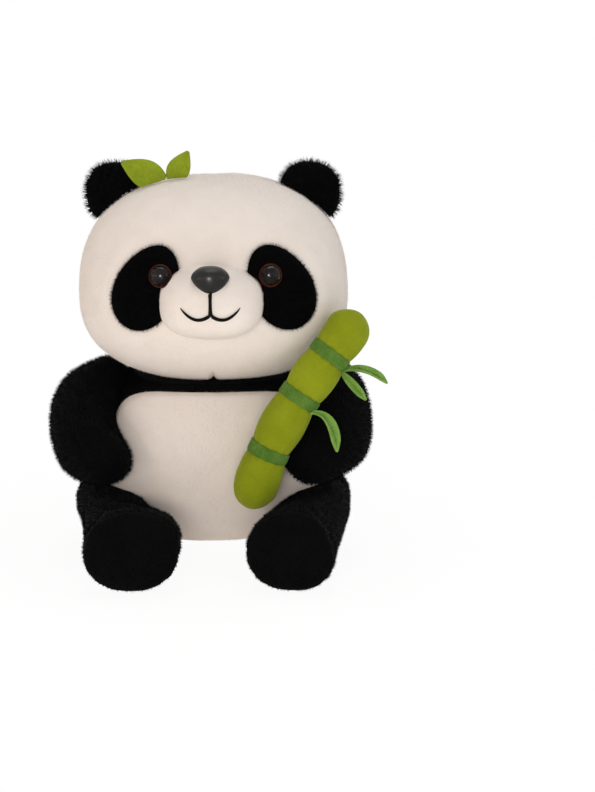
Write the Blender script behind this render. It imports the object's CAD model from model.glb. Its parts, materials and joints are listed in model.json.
# %% [markdown]
# # A plush panda with a stuffed bamboo stalk
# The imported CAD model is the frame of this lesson: it says where every piece is and which body carries it.
# Soft pieces could be dressed by putting a material on the CAD solids, but those have few faces. Here each
# one is made again as a fine mesh from the same sizes, so that it gets its seams, its pile and its fabric.

# %% Load the frame
import json
import math

import bmesh
import bpy
import numpy as np
from mathutils import Matrix, Vector
from mathutils.bvhtree import BVHTree

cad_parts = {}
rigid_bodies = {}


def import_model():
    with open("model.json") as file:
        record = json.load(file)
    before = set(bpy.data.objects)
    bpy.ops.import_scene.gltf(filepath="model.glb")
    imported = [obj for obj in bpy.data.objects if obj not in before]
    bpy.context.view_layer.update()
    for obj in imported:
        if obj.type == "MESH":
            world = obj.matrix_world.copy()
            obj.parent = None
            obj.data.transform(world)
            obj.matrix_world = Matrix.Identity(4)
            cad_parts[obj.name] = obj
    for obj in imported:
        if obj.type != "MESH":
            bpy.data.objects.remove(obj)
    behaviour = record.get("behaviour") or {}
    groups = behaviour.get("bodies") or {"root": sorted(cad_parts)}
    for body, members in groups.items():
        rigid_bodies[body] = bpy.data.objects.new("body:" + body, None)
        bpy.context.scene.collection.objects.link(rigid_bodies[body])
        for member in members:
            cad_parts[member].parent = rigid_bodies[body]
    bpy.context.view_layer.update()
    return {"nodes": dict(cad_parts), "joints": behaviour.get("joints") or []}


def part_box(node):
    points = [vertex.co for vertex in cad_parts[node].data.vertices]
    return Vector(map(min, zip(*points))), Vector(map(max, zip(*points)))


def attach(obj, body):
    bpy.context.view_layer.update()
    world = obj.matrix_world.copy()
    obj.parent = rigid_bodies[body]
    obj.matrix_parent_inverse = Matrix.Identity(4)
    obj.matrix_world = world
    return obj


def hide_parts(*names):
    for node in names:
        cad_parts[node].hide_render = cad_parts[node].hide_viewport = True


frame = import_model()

scene = bpy.context.scene
scene.view_settings.view_transform = 'Standard'

# %% [markdown]
# ## Camera
# A toy on a table is seen from a little above. The camera stands 1.1 m off, nearly in front of the toy and
# 14 degrees above it. A lens shift could frame the toy left of the middle, but the camera is turned a little
# to its side instead: a camera without shift behaves the same from every other side.

# %% Place the camera
DOWNWARD = math.radians(14.0)
FOCAL_PIXELS = 1841.4
IMAGE_HEIGHT = 792
away = Vector((0.0, -math.cos(DOWNWARD), math.sin(DOWNWARD)))
upward = Vector((0.0, math.sin(DOWNWARD), math.cos(DOWNWARD)))
chest = Vector((0.0, -0.010, 0.112))
aim = chest + Vector((0.0495, 0.0, 0.0)) - upward * 0.0214
camera_data = bpy.data.cameras.new("camera")
camera_data.sensor_fit = 'VERTICAL'
camera_data.sensor_height = 36.0
camera_data.lens = FOCAL_PIXELS / IMAGE_HEIGHT * camera_data.sensor_height
camera = bpy.data.objects.new("camera", camera_data)
camera.location = chest + away * 1.1 + Vector((0.029, 0.0, 0.0))
camera.rotation_euler = (aim - camera.location).to_track_quat('-Z', 'Y').to_euler()
scene.collection.objects.link(camera)
scene.camera = camera
print("camera lens, mm:", round(camera_data.lens, 1))

# %% [markdown]
# ## Nodes by name
# Worlds, materials and geometry trees are all node trees. One small helper adds a node, sets what is fixed
# on it and links what comes from another node, so that each tree below reads as a list of its steps.

# %% A helper for node trees
def node(tree, kind, inputs=None, **settings):
    made = tree.nodes.new(kind)
    for name, value in settings.items():
        setattr(made, name, value)
    for name, value in (inputs or {}).items():
        if isinstance(value, bpy.types.NodeSocket):
            tree.links.new(value, made.inputs[name])
        else:
            made.inputs[name].default_value = value
    return made


print("node helper ready")

# %% [markdown]
# ## Studio light
# Soft light makes fabric look like fabric: a big lamp in front and above, a warm one from the left and a
# cooler one from the right. A catch light that shines on the lenses and the nose alone puts the spark in the face. The
# background is white only for rays from the camera, from gloss and through clear plastic. The fabric itself is lit by a plain
# grey surround, so white plush doesn't burn out.

# %% Surround, lamps and floor
world = bpy.data.worlds.new("surround")
world.use_nodes = True
scene.world = world
sky = world.node_tree
sky.nodes.clear()
path = node(sky, 'ShaderNodeLightPath')
seen = node(sky, 'ShaderNodeMath', {0: path.outputs["Is Camera Ray"], 1: path.outputs["Is Glossy Ray"]},
            operation='MAXIMUM')
seen = node(sky, 'ShaderNodeMath', {0: seen.outputs[0], 1: path.outputs["Is Transmission Ray"]},
            operation='MAXIMUM')
ambient = node(sky, 'ShaderNodeBackground', {"Color": (0.98, 0.99, 1.0, 1.0), "Strength": 0.32})
backdrop = node(sky, 'ShaderNodeBackground', {"Color": (1.0, 1.0, 1.0, 1.0), "Strength": 1.0})
mixed = node(sky, 'ShaderNodeMixShader', {0: seen.outputs[0], 1: ambient.outputs[0], 2: backdrop.outputs[0]})
node(sky, 'ShaderNodeOutputWorld', {"Surface": mixed.outputs[0]})


def lamp(name, place, size, power, colour):
    light = bpy.data.lights.new(name, 'AREA')
    light.shape = 'DISK'
    light.size = size
    light.energy = power
    light.color = colour
    made = bpy.data.objects.new(name, light)
    made.location = place
    made.rotation_euler = (Vector((0.0, 0.0, 0.11)) - Vector(place)).to_track_quat('-Z', 'Y').to_euler()
    scene.collection.objects.link(made)
    return made


lamp("key_light", (-0.13, -1.05, 0.34), 0.35, 2.5, (1.0, 0.95, 0.90))
lamp("front_softbox", (0.05, -1.25, 0.62), 1.1, 0.3, (1.0, 0.96, 0.92))
lamp("low_fill", (0.0, -1.25, 0.16), 0.5, 1.9, (1.0, 0.93, 0.87))
lamp("warm_left", (-1.1, -0.75, 0.40), 0.35, 1.8, (1.0, 0.80, 0.62))
lamp("cool_right", (1.1, -0.55, 0.50), 0.35, 1.7, (0.90, 0.96, 1.0))
lamp("top_light", (0.05, 0.15, 1.15), 0.8, 4.6, (1.0, 1.0, 1.0))

catch_light = lamp("catch_light", (-0.12, -1.05, 0.40), 0.06, 8.0, (1.0, 1.0, 1.0))
glossy_pieces = bpy.data.collections.new("glossy_pieces")
catch_light.light_linking.receiver_collection = glossy_pieces

floor_look = bpy.data.materials.new("paper_floor")
floor_look.use_nodes = True
ground = floor_look.node_tree
ground.nodes.clear()
path = node(ground, 'ShaderNodeLightPath')
seen = node(ground, 'ShaderNodeMath', {0: path.outputs["Is Camera Ray"], 1: path.outputs["Is Glossy Ray"]},
            operation='MAXIMUM')
seen = node(ground, 'ShaderNodeMath', {0: seen.outputs[0], 1: path.outputs["Is Transmission Ray"]},
            operation='MAXIMUM')
where = node(ground, 'ShaderNodeTexCoord')
reach = node(ground, 'ShaderNodeVectorMath', {0: where.outputs["Object"]}, operation='LENGTH')
far = node(ground, 'ShaderNodeMapRange', {"Value": reach.outputs["Value"], "From Min": 0.13, "From Max": 0.24,
                                          "To Min": 0.92, "To Max": 1.0})
glow = node(ground, 'ShaderNodeMath', {0: seen.outputs[0], 1: far.outputs[0]}, operation='MULTIPLY')
matt = node(ground, 'ShaderNodeBsdfDiffuse', {"Color": (0.94, 0.94, 0.94, 1.0)})
bounce = node(ground, 'ShaderNodeEmission', {"Color": (1.0, 0.95, 0.89, 1.0), "Strength": 0.25})
matt = node(ground, 'ShaderNodeAddShader', {0: matt.outputs[0], 1: bounce.outputs[0]})
white = node(ground, 'ShaderNodeEmission', {"Color": (1.0, 1.0, 1.0, 1.0), "Strength": 1.0})
mixed = node(ground, 'ShaderNodeMixShader', {0: glow.outputs[0], 1: matt.outputs[0], 2: white.outputs[0]})
node(ground, 'ShaderNodeOutputMaterial', {"Surface": mixed.outputs[0]})
sheet_shape = bmesh.new()
bmesh.ops.create_grid(sheet_shape, x_segments=1, y_segments=1, size=6.0)
floor_mesh = bpy.data.meshes.new("floor")
sheet_shape.to_mesh(floor_mesh)
sheet_shape.free()
floor_mesh.materials.append(floor_look)
floor = bpy.data.objects.new("floor", floor_mesh)
floor_mesh.transform(Matrix.Translation((0.0, 0.0, -0.0004)))
scene.collection.objects.link(floor)
print("lamps:", len(bpy.data.lights))

# %% [markdown]
# ## Fabric finishes
# Plush, velvet, ribbon, thread and felt are all fibres. What they share is one shader group: fine noise for
# single strands, slower noise for brushed clumps, and from these a colour, a roughness and a height. Each
# material places the group with its own colours and scales; sheen stays on its own shader.

# %% The fibre group
def shader_group(name, takes, gives):
    tree = bpy.data.node_groups.new(name, 'ShaderNodeTree')
    for label, kind, value in takes:
        socket = tree.interface.new_socket(label, in_out='INPUT', socket_type=kind)
        if value is not None:
            socket.default_value = value
    for label, kind in gives:
        tree.interface.new_socket(label, in_out='OUTPUT', socket_type=kind)
    return tree, tree.nodes.new('NodeGroupInput'), tree.nodes.new('NodeGroupOutput')


def mix_colours(tree, share, first, second):
    made = tree.nodes.new('ShaderNodeMix')
    made.data_type = 'RGBA'
    for index, value in ((0, share), (6, first), (7, second)):
        if isinstance(value, bpy.types.NodeSocket):
            tree.links.new(value, made.inputs[index])
        else:
            made.inputs[index].default_value = value
    return made.outputs[2]


fibre, taken, given = shader_group(
    "Fibre nap",
    [("Vector", 'NodeSocketVector', None), ("Root", 'NodeSocketColor', (0.5, 0.5, 0.5, 1.0)),
     ("Tip", 'NodeSocketColor', (0.6, 0.6, 0.6, 1.0)), ("Strand Scale", 'NodeSocketFloat', 900.0),
     ("Clump Scale", 'NodeSocketFloat', 70.0)],
    [("Color", 'NodeSocketColor'), ("Roughness", 'NodeSocketFloat'), ("Height", 'NodeSocketFloat')])
strand = node(fibre, 'ShaderNodeTexNoise', {"Vector": taken.outputs["Vector"], "Detail": 2.0,
                                            "Scale": taken.outputs["Strand Scale"], "Roughness": 0.6})
clump = node(fibre, 'ShaderNodeTexNoise', {"Vector": taken.outputs["Vector"], "Detail": 3.0,
                                           "Scale": taken.outputs["Clump Scale"], "Distortion": 0.7})
share = node(fibre, 'ShaderNodeMath', {0: strand.outputs["Fac"], 1: clump.outputs["Fac"]}, operation='ADD')
spread = node(fibre, 'ShaderNodeMapRange', {"Value": share.outputs[0], "From Min": 0.70, "From Max": 1.30})
colour = mix_colours(fibre, spread.outputs[0], taken.outputs["Root"], taken.outputs["Tip"])
rough = node(fibre, 'ShaderNodeMapRange', {"Value": strand.outputs["Fac"], "To Min": 0.78, "To Max": 1.0})
fibre.links.new(colour, given.inputs["Color"])
fibre.links.new(rough.outputs[0], given.inputs["Roughness"])
fibre.links.new(share.outputs[0], given.inputs["Height"])
print("fibre group nodes:", len(fibre.nodes))

# %% Fabric materials
def fabric(name, root, tip, strands, clumps, bump, sheen=0.0, sheen_tint=(1.0, 1.0, 1.0)):
    made = bpy.data.materials.new(name)
    made.use_nodes = True
    tree = made.node_tree
    shader = tree.nodes["Principled BSDF"]
    where = node(tree, 'ShaderNodeTexCoord')
    nap = node(tree, 'ShaderNodeGroup', node_tree=fibre)
    tree.links.new(where.outputs["Object"], nap.inputs["Vector"])
    nap.inputs["Root"].default_value = (*root, 1.0)
    nap.inputs["Tip"].default_value = (*tip, 1.0)
    nap.inputs["Strand Scale"].default_value = strands
    nap.inputs["Clump Scale"].default_value = clumps
    relief = node(tree, 'ShaderNodeBump', {"Height": nap.outputs["Height"], "Strength": bump[0],
                                           "Distance": bump[1]})
    tree.links.new(nap.outputs["Color"], shader.inputs["Base Color"])
    tree.links.new(nap.outputs["Roughness"], shader.inputs["Roughness"])
    tree.links.new(relief.outputs["Normal"], shader.inputs["Normal"])
    shader.inputs["Specular IOR Level"].default_value = 0.06
    shader.inputs["Sheen Weight"].default_value = sheen
    shader.inputs["Sheen Roughness"].default_value = 0.45
    shader.inputs["Sheen Tint"].default_value = (*sheen_tint, 1.0)
    return made


WHITE_PLUSH = fabric("white_plush", (0.79, 0.715, 0.655), (0.84, 0.77, 0.715), 1400.0, 60.0, (0.25, 0.0004),
                     0.08, (1.0, 0.96, 0.92))
BLACK_PLUSH = fabric("black_plush", (0.0004, 0.0004, 0.0005), (0.0018, 0.0018, 0.0020), 900.0, 70.0,
                     (0.6, 0.0008), 0.006, (0.8, 0.88, 0.95))
STALK_VELVET = fabric("stalk_velvet", (0.19, 0.235, 0.005), (0.27, 0.31, 0.014), 1500.0, 38.0, (0.3, 0.0004),
                      0.22, (0.9, 1.0, 0.30))
BAND_RIBBON = fabric("band_ribbon", (0.055, 0.135, 0.014), (0.12, 0.225, 0.040), 1300.0, 130.0, (0.4, 0.0004),
                     0.10, (0.6, 1.0, 0.5))
LEAF_FELT = fabric("leaf_felt", (0.13, 0.26, 0.040), (0.24, 0.41, 0.09), 1500.0, 220.0, (0.5, 0.0005))
SPROUT_FELT = fabric("sprout_felt", (0.20, 0.27, 0.012), (0.30, 0.38, 0.030), 1500.0, 160.0, (0.5, 0.0005))
THREAD = fabric("black_thread", (0.003, 0.003, 0.003), (0.010, 0.009, 0.009), 2500.0, 500.0, (0.5, 0.0003),
                0.03)
print("fabrics:", len(bpy.data.materials) - 1)

# %% [markdown]
# ## Moulded plastic
# Nose, eyes and lock washers are moulded. A second group gives what moulded plastic has: a slight
# unevenness in gloss and a very fine relief. The lens lets light through and is otherwise plain.

# %% Plastic materials
moulding, taken, given = shader_group(
    "Moulded skin",
    [("Vector", 'NodeSocketVector', None), ("Gloss", 'NodeSocketFloat', 0.3), ("Grain", 'NodeSocketFloat', 1800.0)],
    [("Roughness", 'NodeSocketFloat'), ("Height", 'NodeSocketFloat')])
cloud = node(moulding, 'ShaderNodeTexNoise', {"Vector": taken.outputs["Vector"], "Scale": 160.0, "Detail": 2.0})
grain = node(moulding, 'ShaderNodeTexNoise', {"Vector": taken.outputs["Vector"], "Detail": 1.0,
                                              "Scale": taken.outputs["Grain"]})
uneven = node(moulding, 'ShaderNodeMapRange', {"Value": cloud.outputs["Fac"], "To Min": 0.8, "To Max": 1.2})
gloss = node(moulding, 'ShaderNodeMath', {0: uneven.outputs[0], 1: taken.outputs["Gloss"]},
             operation='MULTIPLY')
moulding.links.new(gloss.outputs[0], given.inputs["Roughness"])
moulding.links.new(grain.outputs["Fac"], given.inputs["Height"])


def plastic(name, colour, gloss, relief):
    made = bpy.data.materials.new(name)
    made.use_nodes = True
    tree = made.node_tree
    shader = tree.nodes["Principled BSDF"]
    where = node(tree, 'ShaderNodeTexCoord')
    skin = node(tree, 'ShaderNodeGroup', node_tree=moulding)
    tree.links.new(where.outputs["Object"], skin.inputs["Vector"])
    skin.inputs["Gloss"].default_value = gloss
    bump = node(tree, 'ShaderNodeBump', {"Height": skin.outputs["Height"], "Strength": relief,
                                         "Distance": 0.0002})
    shader.inputs["Base Color"].default_value = (*colour, 1.0)
    tree.links.new(skin.outputs["Roughness"], shader.inputs["Roughness"])
    tree.links.new(bump.outputs["Normal"], shader.inputs["Normal"])
    return made


NOSE_PLASTIC = plastic("nose_plastic", (0.0105, 0.0099, 0.0094), 0.32, 0.15)
NOSE_PLASTIC.node_tree.nodes["Principled BSDF"].inputs["Specular IOR Level"].default_value = 0.16
WASHER_PLASTIC = plastic("washer_plastic", (0.72, 0.72, 0.69), 0.40, 0.2)
IRIS_PLASTIC = plastic("iris_plastic", (0.05, 0.02, 0.012), 0.28, 0.05)
LENS_PLASTIC = plastic("lens_plastic", (0.50, 0.45, 0.42), 0.19, 0.0)
lens_shader = LENS_PLASTIC.node_tree.nodes["Principled BSDF"]
lens_shader.inputs["Transmission Weight"].default_value = 1.0
lens_shader.inputs["IOR"].default_value = 1.25
IRIS_PLASTIC.node_tree.nodes["Principled BSDF"].inputs["Specular IOR Level"].default_value = 0.06
tree = IRIS_PLASTIC.node_tree
middle = node(tree, 'ShaderNodeAttribute', attribute_name="from_middle")
ramp = node(tree, 'ShaderNodeValToRGB', {"Fac": middle.outputs["Fac"]})
ramp.color_ramp.elements[0].position = 0.70
ramp.color_ramp.elements[0].color = (0.003, 0.002, 0.002, 1.0)
ramp.color_ramp.elements[1].position = 0.84
ramp.color_ramp.elements[1].color = (0.060, 0.016, 0.007, 1.0)
rim = ramp.color_ramp.elements.new(0.90)
rim.color = (0.085, 0.021, 0.010, 1.0)
rim = ramp.color_ramp.elements.new(0.99)
rim.color = (0.020, 0.005, 0.003, 1.0)
tree.links.new(ramp.outputs["Color"], tree.nodes["Principled BSDF"].inputs["Base Color"])
print("plastics: 4")

# %% [markdown]
# ## Stuffed forms
# A stuffed piece starts as a ball of even square faces: a cube whose grid is blown up to a sphere. A sphere
# with poles would pinch the fabric there. An ovoid stretches the ball to a width, a depth and unlike heights
# above and below; it can also say where its front is and push the points of a neighbour out of itself.

# %% Balls and ovoids
def ball(cuts):
    shape = bmesh.new()
    bmesh.ops.create_cube(shape, size=2.0)
    bmesh.ops.subdivide_edges(shape, edges=shape.edges, cuts=cuts, use_grid_fill=True)
    grid = np.array([vert.co for vert in shape.verts])
    faces = [[vert.index for vert in face.verts] for face in shape.faces]
    shape.free()
    grid = np.tan(grid * math.pi / 4)
    return grid / np.linalg.norm(grid, axis=1, keepdims=True), faces


class Ovoid:
    def __init__(self, centre, width, depth, rise, drop, fullness, lean=0.0):
        self.centre = np.array(centre)
        self.half = (width / 2, depth / 2)
        self.rise, self.drop = rise, drop
        self.fullness, self.lean = fullness, lean

    def axes(self, height, spare=0.0):
        tall = np.where(height >= 0.0, self.rise, self.drop) + spare
        return np.column_stack([np.full_like(tall, self.half[0] + spare),
                                np.full_like(tall, self.half[1] + spare), tall])

    def skin(self, ways, spare=0.0):
        total = (np.abs(ways) ** self.fullness).sum(axis=1, keepdims=True) ** (-1.0 / self.fullness)
        place = ways * self.axes(ways[:, 2], spare) * total
        place[:, 1] += self.lean * np.maximum(-place[:, 2], 0.0) / self.drop
        return place + self.centre

    def inward(self, points, spare=0.0):
        """Points from the centre, and how far out they are: 1 on the skin."""
        out = points - self.centre
        out[:, 1] -= self.lean * np.maximum(-out[:, 2], 0.0) / self.drop
        share = np.abs(out / self.axes(out[:, 2], spare)) ** self.fullness
        return out, share.sum(axis=1) ** (1.0 / self.fullness)

    def push_out(self, points, gap):
        out, share = self.inward(points, gap)
        out = out * np.where(share < 1.0, 1.0 / np.maximum(share, 0.05), 1.0)[:, None]
        out[:, 1] += self.lean * np.maximum(-out[:, 2], 0.0) / self.drop
        return out + self.centre

    def front(self, x, z, spare=0.0):
        height = np.asarray(z) - self.centre[2]
        axes = self.axes(np.atleast_1d(height), spare)
        left = 1.0 - np.abs(x / axes[:, 0]) ** self.fullness - np.abs(height / axes[:, 2]) ** self.fullness
        reach = axes[:, 1] * np.maximum(left, 0.0) ** (1.0 / self.fullness)
        y = self.centre[1] - reach + self.lean * np.maximum(-height, 0.0) / self.drop
        return np.column_stack([np.broadcast_to(x, y.shape), y, np.broadcast_to(z, y.shape)])

    def normal(self, points):
        out = points - self.centre
        axes = self.axes(out[:, 2])
        slope = np.sign(out) * np.abs(out / axes) ** (self.fullness - 1.0) / axes
        return slope / np.linalg.norm(slope, axis=1, keepdims=True)


HEAD = Ovoid((0.0, 0.003, 0.154), 0.160, 0.124, 0.067, 0.053, 2.4)
TORSO = Ovoid((0.0, 0.004, 0.050), 0.140, 0.110, 0.068, 0.052, 2.4, 0.004)
muzzle_z = HEAD.centre[2] + 0.0038
MUZZLE = Ovoid((0.0, HEAD.front(0.0, muzzle_z)[0, 1], muzzle_z), 0.058, 0.048, 0.0195, 0.0195, 2.6)
FINE_BALL = ball(63)
SMALL_BALL = ball(31)
print("faces of the fine ball:", len(FINE_BALL[1]))

# %% [markdown]
# Real filling is never even. A few slow waves of seeded direction, added along the surface, give the soft
# lumps, and seams pull the fabric in to a groove beside them.

# %% Lumps, grooves and pieces
def outward(points, faces):
    corners = points[np.array(faces)]
    flat = np.cross(corners[:, 2] - corners[:, 0], corners[:, 3] - corners[:, 1])
    total = np.zeros_like(points)
    for corner in range(4):
        np.add.at(total, np.array(faces)[:, corner], flat)
    return total / np.maximum(np.linalg.norm(total, axis=1, keepdims=True), 1e-12)


def lumps(points, seed, wave, height):
    chance = np.random.default_rng(seed)
    total = np.zeros(len(points))
    for _ in range(7):
        heading = chance.normal(size=3)
        heading *= math.tau / (wave * chance.uniform(0.7, 1.5) * np.linalg.norm(heading))
        total += np.sin(points @ heading + chance.uniform(0.0, math.tau))
    return total * height / math.sqrt(7)


def groove(distance, width, depth):
    return -depth * np.exp(-(distance / width) ** 2)


def smooth_step(value, low, high):
    share = np.clip((value - low) / (high - low), 0.0, 1.0)
    return share * share * (3.0 - 2.0 * share)


def settled(points, ground=0.0003, soft=0.004):
    """Points that rest on the ground, flattened with a soft edge."""
    points = points.copy()
    height = points[:, 2] - ground
    points[:, 2] = ground + (height + np.sqrt(height ** 2 + (soft * np.exp(-np.abs(height) / soft)) ** 2)) / 2
    return points


def cut(points, faces, place, facing):
    """What is left behind a plane, closed flat where it was cut."""
    shape = bmesh.new()
    verts = [shape.verts.new(point) for point in points]
    for face in faces:
        shape.faces.new([verts[index] for index in face])
    everything = list(shape.verts) + list(shape.edges) + list(shape.faces)
    bmesh.ops.bisect_plane(shape, geom=everything, dist=1e-6, plane_co=place, plane_no=facing, clear_outer=True)
    bmesh.ops.holes_fill(shape, edges=[edge for edge in shape.edges if edge.is_boundary])
    shape.verts.index_update()
    left = np.array([vert.co for vert in shape.verts])
    faces = [[vert.index for vert in face.verts] for face in shape.faces]
    shape.free()
    return left, faces


def piece(name, points, faces, look, body, stands_for=()):
    mesh = bpy.data.meshes.new(name)
    mesh.from_pydata(points.tolist(), [], faces)
    tidy = bmesh.new()
    tidy.from_mesh(mesh)
    bmesh.ops.recalc_face_normals(tidy, faces=tidy.faces)
    tidy.to_mesh(mesh)
    tidy.free()
    mesh.shade_smooth()
    mesh.set_sharp_from_angle(angle=math.radians(50.0))
    mesh.materials.append(look)
    made = bpy.data.objects.new(name, mesh)
    scene.collection.objects.link(made)
    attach(made, body)
    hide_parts(*stands_for)
    return made


FORMS = {}
COMBS = {}
print("helpers for stuffed forms ready")

# %% [markdown]
# ## Filling by cloth simulation
# A sewn cover takes its last shape from the filling that presses it out. Blender's cloth does the same: a
# coarse form of even squares is given a little spare fabric and an inner pressure, the fabric beside a seam
# is held, and after a few steps the cover has soft dents and puckers. How far a point may move is limited,
# and one subdivision afterwards makes the faces fine. Seams and fibre come after that.

# %% Filling and subdivision
STEPS = 14


def stuffed(name, points, faces, held, spare, reach):
    """A cover pressed out by its filling; held is 1 on a seam and 0 where the fabric is free."""
    shape = bpy.data.meshes.new(name)
    shape.from_pydata(points.tolist(), [], faces)
    cover = bpy.data.objects.new(name, shape)
    scene.collection.objects.link(cover)
    moved = points
    seam = cover.vertex_groups.new(name="seam")
    for index in np.nonzero(held > 0.01)[0].tolist():
        seam.add([index], float(held[index]), 'REPLACE')
    filling = cover.modifiers.new("filling", 'CLOTH')
    filling.collision_settings.use_collision = False
    cloth = filling.settings
    cloth.quality = 4
    cloth.mass = 0.1
    cloth.tension_stiffness = cloth.compression_stiffness = 10.0
    cloth.bending_stiffness = 0.4
    cloth.use_pressure = True
    cloth.uniform_pressure_force = 4.0
    cloth.shrink_min = -spare
    cloth.vertex_group_mass = seam.name
    cloth.effector_weights.gravity = 0.0
    for moment in range(1, STEPS + 1):
        scene.frame_set(moment)
    seen = cover.evaluated_get(bpy.context.evaluated_depsgraph_get())
    moved = np.array([vert.co for vert in seen.data.vertices])
    scene.frame_set(1)
    bpy.data.objects.remove(cover)
    step = moved - points
    far = np.maximum(np.linalg.norm(step, axis=1, keepdims=True), 1e-9)
    step *= reach * np.tanh(far / reach) / far
    step -= outward(points, faces) * (step * outward(points, faces)).sum(axis=1).mean()
    return points + step


def finer(points, faces):
    """The same form with every face cut in four and smoothed."""
    shape = bpy.data.meshes.new("finer")
    shape.from_pydata(points.tolist(), [], faces)
    made = bpy.data.objects.new("finer", shape)
    scene.collection.objects.link(made)
    smoother = made.modifiers.new("smoother", 'SUBSURF')
    smoother.levels = smoother.render_levels = 1
    seen = made.evaluated_get(bpy.context.evaluated_depsgraph_get()).data
    points = np.array([vert.co for vert in seen.vertices])
    faces = [list(face.vertices) for face in seen.polygons]
    bpy.data.objects.remove(made)
    return points, faces


COARSE_BALL = ball(31)
LIMB_BALL = ball(23)
print("faces of a coarse form:", len(COARSE_BALL[1]))

# %% [markdown]
# ## Torso and belly
# The body is a black cover with a white panel let into its front. The panel could be cut out with a Boolean,
# but its edge would then follow the mesh. Instead the cover sinks a little inside the panel's outline, and
# the panel is its own grid that ends exactly on the outline, with its rim turned in to the seam.

# %% Torso cover and belly panel
BELLY_HALF = (0.064, 0.05325)
BELLY_MIDDLE = 0.04725
BELLY_SQUARENESS = 4.0
TORSO_TOP = 0.1037


def belly_share(x, z):
    share = np.abs(x / BELLY_HALF[0]) ** BELLY_SQUARENESS
    share = share + np.abs((z - BELLY_MIDDLE) / BELLY_HALF[1]) ** BELLY_SQUARENESS
    return share ** (1.0 / BELLY_SQUARENESS)


ways, faces = COARSE_BALL
points = TORSO.skin(ways)
held = np.exp(-((belly_share(points[:, 0], points[:, 2]) - 1.0) / 0.08) ** 2) * (points[:, 1] < 0.0)
held = np.maximum(held, smooth_step(points[:, 2], 0.090, 0.104))
points, faces = finer(stuffed("torso", points, faces, held, 0.010, 0.0016), faces)
normals = outward(points, faces)
share = belly_share(points[:, 0], points[:, 2])
in_front = smooth_step(points[:, 1], 0.004, -0.010)
sunk = -0.0024 * (1.0 - smooth_step(share, 0.96, 1.0)) + groove(share - 1.0, 0.03, 0.0012)
points += normals * (sunk * in_front + lumps(points, 1, 0.05, 0.0004))[:, None]
points = settled(points)
points[:, 2] = np.minimum(points[:, 2], TORSO_TOP)
FORMS["torso"] = (points, faces)
COMBS["torso"] = np.outer(smooth_step(points[:, 2], 0.0955, 0.1005), (0.0, 0.0, 1.4))
torso_cover = piece("torso_cover", points, faces, BLACK_PLUSH, "torso",
                    ("torso_cover", "torso_filling"))


def disc_grid(steps):
    """An even grid in a disc: distance from the middle, angle, and its square faces."""
    line = np.linspace(-1.0, 1.0, steps + 1)
    u, v = [part.ravel() for part in np.meshgrid(line, line)]
    ring = np.maximum(np.abs(u), np.abs(v))
    safe = np.maximum(ring, 1e-9)
    wide = np.abs(u) >= np.abs(v)
    angle = np.where(wide, v / safe * math.pi / 4, math.pi / 2 - u / safe * math.pi / 4)
    angle = np.where(wide & (u < 0), math.pi - v / safe * math.pi / 4, angle)
    angle = np.where(~wide & (v < 0), -math.pi / 2 + u / safe * math.pi / 4, angle)
    faces = []
    for row in range(steps):
        for column in range(steps):
            corner = row * (steps + 1) + column
            faces.append([corner, corner + 1, corner + steps + 2, corner + steps + 1])
    rim = [index for index in range((steps + 1) ** 2) if ring[index] > 1.0 - 1e-9]
    return ring, angle, faces, rim


def closed_panel(upper, lower, faces, rim):
    """A closed sheet between two like grids, its rims joined."""
    count = len(upper)
    order = sorted(rim, key=lambda index: math.atan2(upper[index, 2] - upper[rim, 2].mean(),
                                                     upper[index, 0] - upper[rim, 0].mean()))
    joined = [list(face) for face in faces] + [[index + count for index in face[::-1]] for face in faces]
    for here, there in zip(order, order[1:] + order[:1]):
        joined.append([here, there, there + count, here + count])
    return np.vstack([upper, lower]), joined


def signed_power(base, power):
    return np.sign(base) * np.abs(base) ** power


ring, angle, faces, rim = disc_grid(90)
x = BELLY_HALF[0] * 0.997 * ring * signed_power(np.cos(angle), 2.0 / BELLY_SQUARENESS)
z = BELLY_MIDDLE + BELLY_HALF[1] * 0.997 * ring * signed_power(np.sin(angle), 2.0 / BELLY_SQUARENESS)
z = np.maximum(z, 0.0006)
skin = TORSO.front(x, z)
lift = 0.0007 - 0.0022 * np.maximum(ring - 0.93, 0.0) ** 2 / 0.07 ** 2 + lumps(skin, 2, 0.045, 0.0005)
away_from_body = TORSO.normal(skin)
upper = skin + away_from_body * lift[:, None]
lower = skin - away_from_body * 0.0018
upper[:, 2] = np.maximum(upper[:, 2], 0.0003)
lower[:, 2] = np.maximum(lower[:, 2], 0.0009)
FORMS["belly"] = (upper, faces)
away_from_middle = skin - TORSO.front(0.0, BELLY_MIDDLE)
away_from_middle /= np.maximum(np.linalg.norm(away_from_middle, axis=1, keepdims=True), 1e-6)
COMBS["belly"] = away_from_middle * (1.8 * smooth_step(ring, 0.92, 1.0))[:, None]
points, faces = closed_panel(upper, lower, faces, rim)
belly = piece("belly_panel", points, faces, WHITE_PLUSH, "torso", ("belly_panel",))
print("belly faces:", len(faces))

# %% [markdown]
# ## Head
# Two white panels meet in a seam that runs over the crown and down the cheeks behind the ears. One form is
# made, grooved along the seam and along the short dart under the chin, and cut in two there. The face swells
# a little round each eye patch, because the thread of the eye pulls the patch in.

# %% Head panels
HEAD_SEAM = 0.007
HEAD_BOTTOM = 0.1046
PATCH_TILT = math.radians(28.5)
PATCH_HALF = (0.0175, 0.0260)
EYES = {"left": 1.0, "right": -1.0}


def patch_middle(side):
    return np.array([side * 0.038 + 0.0012, 0.165])


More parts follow.
